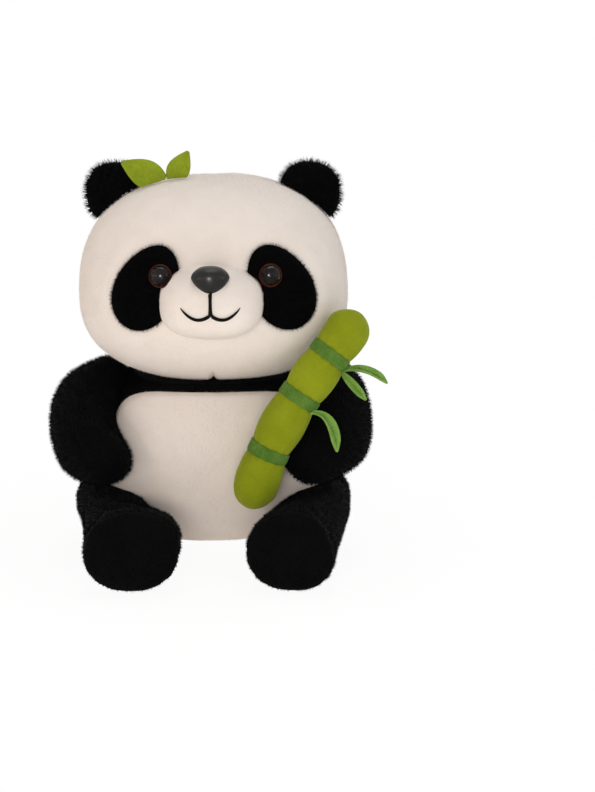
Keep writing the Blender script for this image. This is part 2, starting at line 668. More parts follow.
def patch_share(points, side):
    """How far out a point of the face is from the middle of an eye patch: 1 on its rim."""
    tilt = side * PATCH_TILT
    out = points[:, [0, 2]] - patch_middle(side)
    across = out[:, 0] * math.cos(tilt) + out[:, 1] * math.sin(tilt)
    along = out[:, 1] * math.cos(tilt) - out[:, 0] * math.sin(tilt)
    return np.hypot(across / PATCH_HALF[0], along / PATCH_HALF[1])


def muzzle_share(x, z):
    """The same from the middle of the muzzle."""
    share = np.abs(x / MUZZLE.half[0]) ** MUZZLE.fullness + np.abs((z - muzzle_z) / MUZZLE.rise) ** MUZZLE.fullness
    return share ** (1.0 / MUZZLE.fullness)


ways, faces = COARSE_BALL
points = HEAD.skin(ways)
held = np.exp(-((points[:, 1] - HEAD_SEAM) / 0.004) ** 2)
points, faces = finer(stuffed("head", points, faces, held, 0.006, 0.0012), faces)
normals = outward(points, faces)
lift = lumps(points, 3, 0.06, 0.0005)
open_seam = 1.0 - np.exp(-((np.abs(points[:, 0]) - 0.058) / 0.018) ** 4) * (points[:, 2] > 0.16)
lift += groove(points[:, 1] - HEAD_SEAM, 0.0022, 0.0011) * open_seam
for side in EYES.values():
    rim = np.where(points[:, 1] < 0.0, patch_share(points, side), 9.0)
    lift += 0.0010 * np.exp(-((rim - 1.30) / 0.24) ** 2) + groove(rim - 1.0, 0.08, 0.0006)
hollow = 1.0 - smooth_step(muzzle_share(points[:, 0], points[:, 2]), 0.84, 0.97)
lift -= 0.0024 * hollow * (points[:, 1] < 0.0)
dart = smooth_step(points[:, 2], 0.116, 0.107) * (points[:, 1] < 0.0)
lift += groove(points[:, 0], 0.0016, 0.0026) * dart
points += normals * lift[:, None]
points[:, 2] = np.maximum(points[:, 2], HEAD_BOTTOM)
FORMS["head"] = (points, faces)
halves = {"head_front": (HEAD_SEAM - 0.0001, 1.0, ("head_front", "head_filling")),
          "head_back": (HEAD_SEAM + 0.0001, -1.0, ("head_back",))}
for name, (plane, facing, stands_for) in halves.items():
    half_points, half_faces = cut(points, faces, (0.0, plane, 0.0), (0.0, facing, 0.0))
    made = piece(name, half_points, half_faces, WHITE_PLUSH, "head", stands_for)
    print(name, "faces:", len(half_faces))

# %% [markdown]
# ## Muzzle, eye patches, eyes and nose
# The muzzle is a small pad on the face. The black patches are flat appliques: a grid over each outline that
# stops where the muzzle begins, laid on the head's skin with its rim turned down.

# %% Muzzle
EYE_PLACES = {label: HEAD.front(side * 0.03025 + 0.0024, 0.1727) for label, side in EYES.items()}
EYE_FACINGS = {label: HEAD.normal(place)[0] for label, place in EYE_PLACES.items()}
ways, faces = ball(47)
points = MUZZLE.skin(ways)
high = np.clip((points[:, 2] - muzzle_z) / 0.0195, 0.0, 1.0)
points[:, 2] += 0.8 * high ** 2 * np.maximum(points[:, 1] - MUZZLE.centre[1], 0.0)
points += outward(points, faces) * lumps(points, 4, 0.03, 0.0002)[:, None]
points = HEAD.push_out(points, -0.0012)
for label, place in EYE_PLACES.items():
    facing = EYE_FACINGS[label]
    out = points - place
    beside = out - np.outer(out @ facing, facing)
    reach = np.maximum(np.linalg.norm(beside, axis=1), 1e-6)
    beside *= (np.maximum(0.0074 - reach, 0.0) / reach)[:, None]
    points += beside
FORMS["muzzle"] = (points, faces)
muzzle = piece("muzzle_cover", points, faces, WHITE_PLUSH, "head",
               ("muzzle_cover", "muzzle_filling"))
print("muzzle faces:", len(faces))

# %% Eye patches
for label, side in EYES.items():
    ring, angle, faces, rim = disc_grid(48)
    tilt = side * PATCH_TILT
    across = PATCH_HALF[0] * np.cos(angle) * (0.98 - 0.09 * np.sin(angle))
    along = PATCH_HALF[1] * np.sin(angle)
    outline = np.column_stack([across * math.cos(tilt) - along * math.sin(tilt),
                               across * math.sin(tilt) + along * math.cos(tilt)])
    middle = patch_middle(side)
    kept = np.ones(len(angle))
    for step in range(200, 0, -1):
        test = middle + outline * step / 200
        kept = np.where(muzzle_share(test[:, 0], test[:, 1]) < 1.017, (step - 1) / 200, kept)
    flat = middle + outline * (kept * ring)[:, None]
    skin = HEAD.front(flat[:, 0], flat[:, 1])
    normals = HEAD.normal(skin)
    lift = 0.0017 - 0.0011 * np.maximum(ring - 0.88, 0.0) ** 2 / 0.12 ** 2
    points, faces = closed_panel(skin + normals * lift[:, None], skin + normals * 0.0004, faces, rim)
    FORMS[f"{label}_patch"] = (skin + normals * lift[:, None], disc_grid(48)[2])
    away_from_middle = skin - HEAD.front(*middle)
    away_from_middle /= np.maximum(np.linalg.norm(away_from_middle, axis=1, keepdims=True), 1e-6)
    COMBS[f"{label}_patch"] = away_from_middle * (2.2 * smooth_step(ring, 0.80, 1.0))[:, None]
    patch = piece(f"{label}_eye_patch", points, faces, BLACK_PLUSH, "head",
                  (f"{label}_eye_patch",))
    print(patch.name, "faces:", len(faces))

# %% Eyes and nose
def turned(profile, steps=48):
    """A turned piece about Z from (radius, height) points; the first and last are on the axis."""
    points = [(0.0, 0.0, profile[0][1])]
    for radius, height in profile[1:-1]:
        for step in range(steps):
            turn = math.tau * step / steps
            points.append((radius * math.cos(turn), radius * math.sin(turn), height))
    points.append((0.0, 0.0, profile[-1][1]))
    rows = len(profile) - 2
    faces = []
    for step in range(steps):
        there = (step + 1) % steps
        faces.append([0, 1 + step, 1 + there])
        for row in range(rows - 1):
            here = 1 + row * steps
            faces.append([here + step, here + steps + step, here + steps + there, here + there])
        last = 1 + (rows - 1) * steps
        faces.append([last + there, last + step, len(points) - 1])
    return np.array(points), faces


def facing_out(points, place, facing):
    turn = np.array(Vector(facing).to_track_quat('Z', 'Y').to_matrix())
    return points @ turn.T + place


DOME = [(0.0, 0.0085)] + [(0.0059 * math.sin(step / 14 * math.pi / 2), 0.0037 + 0.0048 * math.cos(step / 14 * math.pi / 2))
                          for step in range(1, 15)] + [(0.0057, 0.0031), (0.0, 0.0031)]
DISC = [(0.0, 0.0033), (0.0020, 0.0033), (0.0038, 0.0033), (0.0052, 0.0033), (0.0057, 0.0036), (0.0060, 0.0041),
        (0.0063, 0.0043), (0.0066, 0.0040), (0.0068, 0.0034), (0.0066, 0.0024), (0.0, 0.0022)]
for label, place in EYE_PLACES.items():
    points, faces = turned(DISC)
    from_middle = np.linalg.norm(points[:, :2], axis=1) / 0.0068
    iris = piece(f"{label}_eye_iris", facing_out(points, place, EYE_FACINGS[label]), faces, IRIS_PLASTIC, "head",
                 (f"{label}_eye_iris",))
    iris.data.attributes.new("from_middle", 'FLOAT', 'POINT').data.foreach_set("value", from_middle)
    points, faces = turned(DOME)
    lens = piece(f"{label}_eye_lens", facing_out(points, place, EYE_FACINGS[label]), faces, LENS_PLASTIC, "head",
                 (f"{label}_eye_lens",))
    glossy_pieces.objects.link(lens)

nose_z = muzzle_z + 0.0166
nose_form = Ovoid((0.0, MUZZLE.front(0.0, nose_z)[0, 1], nose_z), 0.0216, 0.0165, 0.0075, 0.0078, 2.4)
ways, faces = SMALL_BALL
points = nose_form.skin(ways)
height = (points[:, 2] - nose_z) / 0.0078
points[:, 0] *= 1.0 - np.where(height < 0.15, 0.40, 0.14) * np.abs(height - 0.15) ** 1.2
points[:, 1] -= 0.0010 * np.exp(-(points[:, 0] / 0.0050) ** 2) * (points[:, 1] < nose_form.centre[1])
points = MUZZLE.push_out(points, 0.0002)
nose = piece("nose", points, faces, NOSE_PLASTIC, "head", ("nose",))
glossy_pieces.objects.link(nose)
for name in ("left_eye_washer", "right_eye_washer", "nose_washer"):
    for index in range(len(frame["nodes"][name].material_slots)):
        frame["nodes"][name].material_slots[index].material = WASHER_PLASTIC
print("nose faces:", len(faces))

# %% [markdown]
# ## Ears
# Each ear is a front and a back panel sewn together round the edge, and stands on the head behind its seam.

# %% Ears
def crown(form, x, y):
    axes = form.axes(np.array([1.0]))[0]
    left = 1.0 - abs(x / axes[0]) ** form.fullness - abs((y - form.centre[1]) / axes[1]) ** form.fullness
    return np.array([x, y, form.centre[2] + axes[2] * max(left, 0.0) ** (1.0 / form.fullness)])


for label, side in EYES.items():
    root = crown(HEAD, side * 0.0555, 0.011)
    out = HEAD.normal(root[None])[0] * np.array([1.0, 0.0, 1.0])
    out /= np.linalg.norm(out)
    middle = root + out * 0.003
    ear = Ovoid(middle, 0.0368, 0.0150, 0.0184, 0.0184, 2.3)
    ways, faces = ball(31)
    points = ear.skin(ways)
    normals = outward(points, faces)
    lift = groove(points[:, 1] - middle[1], 0.0016, 0.0008) + lumps(points, 5, 0.02, 0.0002)
    points = HEAD.push_out(points + normals * lift[:, None], 0.0004)
    FORMS[f"{label}_ear"] = (points, faces)
    for name, facing in (("front", 1.0), ("back", -1.0)):
        half_points, half_faces = cut(points, faces, middle - (0.0, facing * 0.0001, 0.0), (0.0, facing, 0.0))
        made = piece(f"{label}_ear_{name}", half_points, half_faces, BLACK_PLUSH, f"{label}_ear",
                     (f"{label}_ear_{name}",))
print("ears made")

# %% [markdown]
# ## Arms, legs and tail
# A limb is a stuffed tube along a bent line with both ends rounded. Where it meets the body it lies against
# it, so its points are pushed out of the torso. A leg ends in a flat round sole, sewn on with small puckers.

# %% Limb form
class Limb:
    def __init__(self, line, girths, fullness, across, waist=0.0, flatness=1.0):
        self.line = [np.array(point) for point in line]
        self.girths, self.fullness = girths, fullness
        self.across = np.array(across)
        self.waist, self.flatness = waist, flatness

    def centre(self, along):
        root, bend, tip = self.line
        share = np.asarray(along)[..., None]
        return root * (1 - share) ** 2 + bend * 2 * share * (1 - share) + tip * share ** 2

    def girth(self, along):
        return self.girths[0] * (1 - along) + self.girths[1] * along - self.waist * 4 * along * (1 - along)

    def skin(self, ways):
        root, bend, tip = self.line
        swing = np.clip(ways[:, 2], -1.0, 1.0)
        along = (1.0 - swing) / 2.0
        spoke = ways[:, :2] / np.maximum(np.linalg.norm(ways[:, :2], axis=1, keepdims=True), 1e-9)
        forward = (bend - root) * (1 - along)[:, None] + (tip - bend) * along[:, None]
        forward /= np.linalg.norm(forward, axis=1, keepdims=True)
        over = self.across - forward * (forward @ self.across)[:, None]
        over /= np.linalg.norm(over, axis=1, keepdims=True)
        side = np.cross(forward, over)
        rounding = np.maximum(1.0 - np.abs(swing) ** self.fullness, 0.0) ** (1.0 / self.fullness)
        reach = (self.girth(along) * rounding)[:, None]
        return self.centre(along) + side * spoke[:, :1] * reach + over * spoke[:, 1:] * reach * self.flatness


def mirrored(point, side):
    return (point[0] * side, point[1], point[2])


HINGES = {joint["child"]: joint for joint in frame["joints"]}


def swung(points, body, degrees):
    """Points of a body as its own hinge carries them."""
    hinge = HINGES[body]
    turn = np.array(Matrix.Rotation(math.radians(degrees), 3, Vector(hinge["axis"])))
    pivot = np.array(hinge["pos_m"])
    return (points - pivot) @ turn.T + pivot


def clear_of(form, points, body, gap):
    """Points pushed out of a form wherever the body's hinge takes them."""
    for degrees in np.linspace(*HINGES[body]["range_deg"], 4)[::-1]:
        points = swung(form.push_out(swung(points, body, degrees), gap), body, -degrees)
    return points


def patted(points, pats):
    """Points pressed in or drawn out as by hand: each pat has a place, a reach and a push."""
    for place, reach, push in pats:
        nearness = np.exp(-(np.linalg.norm(points - np.array(place), axis=1) / reach) ** 2)
        points = points + np.outer(nearness, push)
    return points


PATS = {
    "right_arm": [((-0.050, -0.038, 0.084), 0.018, (-0.0100, 0.0, 0.0)),
                  ((-0.076, -0.028, 0.054), 0.016, (-0.0055, 0.0, -0.0035)),
                  ((-0.076, 0.0, 0.108), 0.014, (0.0022, 0.0, -0.0020))],
    "left_arm": [((0.082, -0.030, 0.0615), 0.018, (0.0035, 0.0, -0.0010))],
    "right_leg": [((-0.026, -0.085, 0.036), 0.016, (0.0055, 0.0, 0.0020)),
                  ((-0.080, -0.010, 0.033), 0.018, (-0.0045, 0.0, 0.0))],
    "left_leg": [((0.073, -0.098, 0.034), 0.022, (-0.0055, 0.0, 0.0)),
                 ((0.076, -0.066, 0.036), 0.020, (-0.0060, 0.0, 0.0))],
}
print("limb form ready, hinges:", len(HINGES), "pats:", sum(len(pats) for pats in PATS.values()))

# %% Arms
for label, side in EYES.items():
    bend, tip = (0.0962, -0.010, 0.078), (0.053, -0.056, 0.0595)
    if label == "left":
        bend, tip = (0.088, -0.010, 0.078), (0.049, -0.064, 0.0615)
    line = [mirrored(point, side) for point in ((0.054, 0.004, 0.1055), bend, tip)]
    arm = Limb(line, (0.0218, 0.0238), 2.6, (side, 0.0, 0.0))
    ways, faces = LIMB_BALL
    points = arm.skin(ways)
    held = smooth_step(ways[:, 2], 0.55, 0.85)
    points, faces = finer(stuffed(f"{label}_arm", points, faces, held, 0.014, 0.0014), faces)
    normals = outward(points, faces)
    points += normals * lumps(points, 6 + int(side), 0.035, 0.0003)[:, None]
    points = patted(points, PATS[f"{label}_arm"])
    points = HEAD.push_out(TORSO.push_out(points, 0.0011), 0.0009)
    FORMS[f"{label}_arm"] = (points, faces)
    made = piece(f"{label}_arm_cover", points, faces, BLACK_PLUSH, f"{label}_arm",
                 (f"{label}_arm_cover", f"{label}_arm_filling"))
print("arms made")

# %% Legs and soles
SOLE_PLANE = -0.103
for label, side in EYES.items():
    line = [mirrored(point, side) for point in ((0.062, 0.022, 0.025), (0.060, -0.050, 0.0196), (0.035, -0.150, 0.0272))]
    leg = Limb(line, (0.0285, 0.0402), 3.2, (0.0, 0.0, 1.0), 0.0125, 0.92)
    ways, faces = LIMB_BALL
    points = leg.skin(ways)
    along = (1.0 - ways[:, 2]) / 2.0
    height = leg.centre(along)[:, 2]
    below = np.maximum(height - points[:, 2], 0.0)
    deepest = leg.girth(along) * 0.92 * np.maximum(1.0 - np.abs(ways[:, 2]) ** 3.2, 1e-6) ** (1.0 / 3.2)
    points[:, 2] += below * (1.0 - np.minimum((height - 0.0003) / deepest, 1.0))
    held = np.maximum(np.exp(-((points[:, 1] - SOLE_PLANE) / 0.004) ** 2), smooth_step(ways[:, 2], 0.6, 0.9))
    points, faces = finer(stuffed(f"{label}_leg", points, faces, held, 0.016, 0.0015), faces)
    points, faces = finer(points, faces)
    normals = outward(points, faces)
    low, high = 0.0, 1.0
    for _ in range(40):
        half = (low + high) / 2
        low, high = (half, high) if leg.centre(half)[1] > SOLE_PLANE else (low, half)
    middle = leg.centre(low)
    swing = 1.0 - 2.0 * low
    half_width = leg.girth(low) * (1.0 - abs(swing) ** 3.2) ** (1.0 / 3.2)
    turn = np.arctan2(points[:, 2] - middle[2], points[:, 0] - middle[0])
    behind = np.maximum(points[:, 1] - SOLE_PLANE, 0.0)
    pucker = np.cos(17 * turn + 1.2 * np.sin(3 * turn)) * 0.0004 * np.exp(-behind / 0.007)
    lift = lumps(points, 8 + int(side), 0.035, 0.0004) + groove(behind, 0.0028, 0.0016) + pucker
    points += normals * lift[:, None]
    points = patted(points, PATS[f"{label}_leg"])
    points = settled(TORSO.push_out(clear_of(TORSO, points, f"{label}_leg", 0.0020), 0.0011))
    leg_points, leg_faces = cut(points, faces, (0.0, SOLE_PLANE, 0.0), (0.0, -1.0, 0.0))
    FORMS[f"{label}_leg"] = (leg_points, leg_faces)
    made = piece(f"{label}_leg_cover", leg_points, leg_faces, BLACK_PLUSH, f"{label}_leg",
                 (f"{label}_leg_cover", f"{label}_leg_filling"))
    pad = Ovoid(middle, 2 * half_width, 0.0144, half_width * 0.92, min(half_width * 0.92, middle[2] - 0.0003), 2.1)
    ways, faces = ball(47)
    points = pad.skin(ways)
    normals = outward(points, faces)
    turn = np.arctan2(points[:, 2] - middle[2], points[:, 0] - middle[0])
    rim = np.exp(-((points[:, 1] - SOLE_PLANE) / 0.0022) ** 2)
    lift = lumps(points, 11 + int(side), 0.025, 0.0003) - rim * (0.0010 + 0.0003 * np.cos(17 * turn))
    points = settled(patted(points + normals * lift[:, None], PATS[f"{label}_leg"]))
    sole_points, sole_faces = cut(points, faces, (0.0, SOLE_PLANE - 0.0003, 0.0), (0.0, 1.0, 0.0))
    FORMS[f"{label}_sole"] = (sole_points, sole_faces)
    made = piece(f"{label}_foot_sole", sole_points, sole_faces, BLACK_PLUSH, f"{label}_leg",
                 (f"{label}_foot_sole",))
    print(label, "leg faces:", len(leg_faces))

# %% Tail
tail_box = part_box("tail")
tail_z = (tail_box[0][2] + tail_box[1][2]) / 2
lean = 0.004 * (0.050 - 0.024) / 0.052
tail_back = 2 * (0.004 + lean) - TORSO.front(0.0, 0.024)[0, 1]
tail_form = Ovoid((0.0, tail_back, 0.024), 0.022, 0.022, 0.011, 0.011, 2.0)
ways, faces = SMALL_BALL
points = tail_form.skin(ways)
points = TORSO.push_out(points + outward(points, faces) * lumps(points, 14, 0.012, 0.0003)[:, None], 0.0004)
FORMS["tail"] = (points, faces)
tail = piece("tail", points, faces, BLACK_PLUSH, "torso", ("tail",))

# %% [markdown]
# ## Bamboo stalk
# The stalk is four stuffed lengths of velvet with a ribbon at each joint, along one bent line. Each length
# is lofted from rings round that line: they swell in the middle, draw in with small puckers at the ribbons
# and close to a gathered round end.

# %% Stalk line
STALK_KNOTS = [np.array(knot) for knot in ((0.085, 0.016, 0.149), (0.060, 0.008, 0.116), (0.0262, 0.0, 0.077),
                                           (0.0222, 0.0, 0.037))]
STALK_RADIUS, STALK_NECK, BAND_WIDTH = 0.0132, 0.0112, 0.0056


def stalk_point(t):
    t = np.asarray(t)[..., None]
    weights = ((1 - t) ** 3, 3 * t * (1 - t) ** 2, 3 * t * t * (1 - t), t ** 3)
    return sum(weight * knot for weight, knot in zip(weights, STALK_KNOTS))


steps = np.linspace(0.0, 1.0, 400)
line = stalk_point(steps)
run = np.concatenate([[0.0], np.cumsum(np.linalg.norm(np.diff(line, axis=0), axis=1))])
STALK_LENGTH = run[-1]
BANDS = [share * STALK_LENGTH for share in (0.226, 0.454, 0.731)]
band_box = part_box("bamboo_band_2")
band_y = np.interp(BANDS[1], run, line[:, 1])
line[:, 1] += (band_box[0][1] + band_box[1][1]) / 2 - band_y
starts = [0.0] + [band + BAND_WIDTH / 2 for band in BANDS]
ends = [band - BAND_WIDTH / 2 for band in BANDS] + [STALK_LENGTH]


def stalk_at(distance):
    return np.column_stack([np.interp(distance, run, line[:, axis]) for axis in range(3)])


def stalk_radius(distance):
    inward = 1.0 - np.clip(np.minimum(distance, STALK_LENGTH - distance) / STALK_RADIUS, 0.0, 1.0)
    rounding = np.sqrt(np.maximum(1.0 - inward ** 2, 0.0))
    swell = np.zeros_like(distance)
    for start, end in zip(starts, ends):
        share = np.clip((distance - start) / (end - start), 0.0, 1.0)
        swell = np.maximum(swell, np.sin(math.pi * share) ** 0.6)
    return (STALK_NECK + (STALK_RADIUS - STALK_NECK) * swell) * rounding


def ringed(distances, radii, turns):
    """A closed loft of rings round the stalk's line; radii is a table of ring by turn."""
    middles = stalk_at(distances)
    forward = stalk_at(np.minimum(distances + 0.0005, STALK_LENGTH)) - stalk_at(np.maximum(distances - 0.0005, 0.0))
    forward /= np.linalg.norm(forward, axis=1, keepdims=True)
    out = np.array([0.0, -1.0, 0.0]) + forward * forward[:, 1:2]
    out /= np.linalg.norm(out, axis=1, keepdims=True)
    side = np.cross(forward, out)
    spokes = side[:, None] * np.cos(turns)[None, :, None] + out[:, None] * np.sin(turns)[None, :, None]
    points = (middles[:, None] + spokes * radii[:, :, None]).reshape(-1, 3)
    points = np.vstack([points, middles[:1], middles[-1:]])
    count, around = len(distances), len(turns)
    faces = []
    for turn in range(around):
        after = (turn + 1) % around
        for ring in range(count - 1):
            here = ring * around
            faces.append([here + turn, here + after, here + around + after, here + around + turn])
        faces.append([count * around, after, turn])
        last = (count - 1) * around
        faces.append([count * around + 1, last + turn, last + after])
    return points, faces


# %% Stalk lengths and ribbons
TURNS = np.linspace(0.0, math.tau, 96, endpoint=False)
for number, (start, end) in enumerate(zip(starts, ends), 1):
    first = start - (0.0014 if number > 1 else 0.0)
    last = end + (0.0014 if number < 4 else 0.0)
    distances = np.linspace(first, last, 64)
    if number == 1:
        cap = STALK_RADIUS * (1 - np.cos(np.linspace(0.06, math.pi / 2, 24)))
        distances = np.concatenate([cap, np.linspace(STALK_RADIUS, last, 40)[1:]])
    if number == 4:
        cap = STALK_LENGTH - STALK_RADIUS * (1 - np.sin(np.linspace(0.0, math.pi / 2 - 0.06, 24)))
        distances = np.concatenate([np.linspace(first, STALK_LENGTH - STALK_RADIUS, 40)[:-1], cap])
    radii = stalk_radius(distances)[:, None] * np.ones(len(TURNS))
    edge = np.minimum(np.abs(distances - start) if number > 1 else 1.0, np.abs(end - distances) if number < 4 else 1.0)
    drawn = np.exp(-edge / 0.0035)[:, None]
    radii -= drawn * 0.0004 * (1.0 + np.cos(13 * TURNS + number + 1.5 * np.sin(2 * TURNS)))[None]
    tucked = np.maximum(start - distances, distances - end)
    radii -= 0.0014 * smooth_step(tucked, 0.0, 0.0007)[:, None]
    if number == 4:
        gathered = np.exp(-(STALK_LENGTH - distances) / 0.005)[:, None]
        radii *= 1.0 - gathered * 0.13 * (1.0 + np.cos(9 * TURNS + 1.1 * np.sin(2 * TURNS)))[None] / 2
    points, faces = ringed(distances, radii, TURNS)
    points += (points - stalk_at(np.repeat(distances, len(TURNS)).tolist() + [distances[0], distances[-1]])) * lumps(points, 20 + number, 0.014, 0.018)[:, None]
    FORMS[f"stalk_{number}"] = (points, faces)
    made = piece(f"bamboo_segment_{number}", points, faces, STALK_VELVET, "left_arm",
                 (f"bamboo_segment_{number}",))
for number, band in enumerate(BANDS, 1):
    distances = np.linspace(band - BAND_WIDTH * 0.62, band + BAND_WIDTH * 0.62, 21)
    across = (distances - band) / (BAND_WIDTH * 0.62)
    radii = STALK_NECK + 0.0011 - 0.0004 * np.abs(across) ** 6
    radii = radii[:, None] + 0.00015 * np.cos(11 * TURNS + number)[None] * across[:, None] ** 2
    points, faces = ringed(distances, radii, TURNS)
    FORMS[f"ribbon_{number}"] = (points, faces)
    piece(f"bamboo_band_{number}", points, faces, BAND_RIBBON, "left_arm",
          (f"bamboo_band_{number}",))
print("stalk lengths:", len(starts), "ribbons:", len(BANDS))

# %% [markdown]
# ## Felt leaves
# A leaf is one cut of thick felt, folded a little along its middle and curling along its length. It is made
# as a grid with its own outline, given its thickness, and its rim is closed so that it shows a cut edge.

# %% Leaves
FELT = 0.0014


def felt_between(middle, across, rows, columns):
    """Thick felt about a grid, closed round its rim."""
    faces = []
    for row in range(rows):
        for column in range(columns):
            corner = row * (columns + 1) + column
            faces.append([corner, corner + columns + 1, corner + columns + 2, corner + 1])
    normals = outward(middle, faces)
    half = (FELT / 2 * (1.0 - 0.35 * np.abs(across) ** 8))[:, None]
    count = len(middle)
    rim = [column for column in range(columns)]
    rim += [row * (columns + 1) + columns for row in range(rows)]
    rim += [rows * (columns + 1) + column for column in range(columns, 0, -1)]
    rim += [row * (columns + 1) for row in range(rows, 0, -1)]
    closed = [list(face) for face in faces] + [[index + count for index in face[::-1]] for face in faces]
    for here, there in zip(rim, rim[1:] + rim[:1]):
        closed.append([here, there, there + count, here + count])
    return np.vstack([middle + normals * half, middle - normals * half]), closed


def felt_leaf(length, width, curl, fold, rows=28, columns=12):
    along, across = [part.ravel() for part in np.meshgrid(np.linspace(0.0, 1.0, rows + 1),
                                                          np.linspace(-1.0, 1.0, columns + 1), indexing='ij')]
    taper = np.sin(math.pi * (0.10 + 0.86 * along) ** 0.85)
    half = width / 2 * np.maximum(taper, 0.06)
    lift = curl * length * along ** 2 + fold * half * np.abs(across) ** 1.2
    points, faces = felt_between(np.column_stack([along * length, across * half, lift]), across, rows, columns)
    return points, faces, 2.0 * half.mean() * length


sprout_root = crown(HEAD, -0.0262, -0.001)
for name, length, width, spread in (("sprout_leaf_1", 0.0270, 0.0165, -64.0), ("sprout_leaf_2", 0.0205, 0.0130, 29.0)):
    points, faces, area = felt_leaf(length, width, 0.12, 0.45)
    upright = Matrix.Rotation(-math.pi / 2, 4, 'Y') @ Matrix.Rotation(math.pi / 2, 4, 'X')
    start = Vector(sprout_root) + Vector((math.copysign(0.0022, spread), 0.0, -0.001))
    stance = np.array(Matrix.Translation(start) @ Matrix.Rotation(math.radians(spread), 4, 'Y') @ upright)
    points = points @ stance[:3, :3].T + stance[:3, 3]
    points = HEAD.push_out(points, 0.0006)
    made = piece(name, points, faces, SPROUT_FELT, "head", (name,))

def curled_leaf(knots, width, facing, fold, twist, rows=36, columns=10):
    """A folded strip of felt along a bent line of three knots, facing a given way."""
    along, across = [part.ravel() for part in np.meshgrid(np.linspace(0.0, 1.0, rows + 1),
                                                          np.linspace(-1.0, 1.0, columns + 1), indexing='ij')]
    share = along[:, None]
    middle = knots[0] * (1 - share) ** 2 + knots[1] * 2 * share * (1 - share) + knots[2] * share ** 2
    forward = (knots[1] - knots[0]) * (1 - share) + (knots[2] - knots[1]) * share
    forward /= np.linalg.norm(forward, axis=1, keepdims=True)
    side = np.cross(np.array(facing), forward)
    side /= np.linalg.norm(side, axis=1, keepdims=True)
    face = np.cross(forward, side)
    turn = twist * (along - 0.4)[:, None]
    side, face = side * np.cos(turn) + face * np.sin(turn), face * np.cos(turn) - side * np.sin(turn)
    half = width / 2 * (0.30 + 0.70 * np.sin(math.pi * np.clip(along * 0.80 + 0.02, 0.0, 1.0)) ** 1.3)
    half *= np.sqrt(np.clip((1.0 - along) / 0.16, 0.02, 1.0))
    spread = math.cos(math.atan(fold))
    middle = middle + side * (across * half * spread)[:, None] + face * (np.abs(across) * half * fold * spread)[:, None]
    return felt_between(middle, across, rows, columns)


BAMBOO_LEAVES = {
    "bamboo_leaf_1": (0, 0.0080, (0.95, 0.15, -0.30), (0.0120, 0.0005, 0.0030), (0.0268, 0.0040, -0.0080),
                      (0.15, -0.45, 0.88), 1.1, 0.8),
    "bamboo_leaf_2": (0, 0.0070, (0.62, -0.45, -0.64), (0.0050, -0.0050, -0.0030), (0.0138, -0.0090, -0.0145),
                      (-0.65, -0.60, 0.45), 1.1, -0.6),
    "bamboo_leaf_3": (1, 0.0085, (0.42, -0.62, -0.66), (0.0125, -0.0045, 0.0010), (0.0150, -0.0090, -0.0205),
                      (0.45, -0.70, 0.55), 1.0, 0.8)}
for name, (number, width, pointing, bend, tip, facing, fold, twist) in BAMBOO_LEAVES.items():
    middle, beyond = stalk_at([BANDS[number], BANDS[number] + BAND_WIDTH])
    along = (beyond - middle) / np.linalg.norm(beyond - middle)
    spoke = np.array(pointing) - along * (np.array(pointing) @ along)
    spoke /= np.linalg.norm(spoke)
    root = middle + spoke * (STALK_NECK + 0.0004) + along * BAND_WIDTH * 0.7
    points, faces = curled_leaf([root, root + bend, root + tip], width, facing, fold, twist)
    near = np.abs(points[:, None] - line[None, ::4]).sum(axis=2).argmin(axis=1) * 4
    out = points - line[near]
    reach = np.maximum(np.linalg.norm(out, axis=1), 1e-6)
    room = stalk_radius(run[near]) + 0.0006
    points += out * (np.maximum(room - reach, 0.0) / reach)[:, None]
    piece(name, points, faces, LEAF_FELT, "left_arm", (name,))
print("leaves:", 2 + len(BAMBOO_LEAVES))

# %% [markdown]
# ## Geometry Nodes for stitches
# The mouth is satin stitch: short threads laid side by side across a line. Each could be modelled by hand,
# but a tree that spreads one thread along a guide line keeps spacing, width and thickness as inputs.

# %% The stitch tree
def geometry_tree(name, takes):
    tree = bpy.data.node_groups.new(name, 'GeometryNodeTree')
    tree.interface.new_socket("Geometry", in_out='INPUT', socket_type='NodeSocketGeometry')
    for label, kind in takes:
        tree.interface.new_socket(label, in_out='INPUT', socket_type=kind)
    tree.interface.new_socket("Geometry", in_out='OUTPUT', socket_type='NodeSocketGeometry')
    return tree, tree.nodes.new('NodeGroupInput'), tree.nodes.new('NodeGroupOutput')


def grown(guide, tree, values):
    """The plain mesh that a tree makes of a guide, with the guide removed afterwards."""
    scene.collection.objects.link(guide)
    modifier = guide.modifiers.new(tree.name, 'NODES')
    modifier.node_group = tree
    for item in tree.interface.items_tree:
        if item.in_out == 'INPUT' and item.name in values:
            modifier[item.identifier] = values[item.name]
    seen = guide.evaluated_get(bpy.context.evaluated_depsgraph_get())
    mesh = bpy.data.meshes.new_from_object(seen)
    bpy.data.objects.remove(guide)
    return mesh


stitching, taken, given = geometry_tree("Satin stitch", [
    ("Spacing", 'NodeSocketFloat'), ("Stitch Width", 'NodeSocketFloat'), ("Thread", 'NodeSocketFloat'),
    ("Slant", 'NodeSocketFloat'), ("Material", 'NodeSocketMaterial')])
curve = node(stitching, 'GeometryNodeMeshToCurve', {"Mesh": taken.outputs["Geometry"]})
evenly = node(stitching, 'GeometryNodeResampleCurve', {"Curve": curve.outputs[0], "Length": taken.outputs["Spacing"]},
              mode='LENGTH')
out = node(stitching, 'GeometryNodeInputNamedAttribute', {"Name": "out"}, data_type='FLOAT_VECTOR')
along = node(stitching, 'GeometryNodeInputTangent')
upright = node(stitching, 'FunctionNodeAlignRotationToVector', {"Vector": out.outputs["Attribute"]}, axis='Z')
lying = node(stitching, 'FunctionNodeAlignRotationToVector',
             {"Rotation": upright.outputs[0], "Vector": along.outputs[0]}, axis='X', pivot_axis='Z')
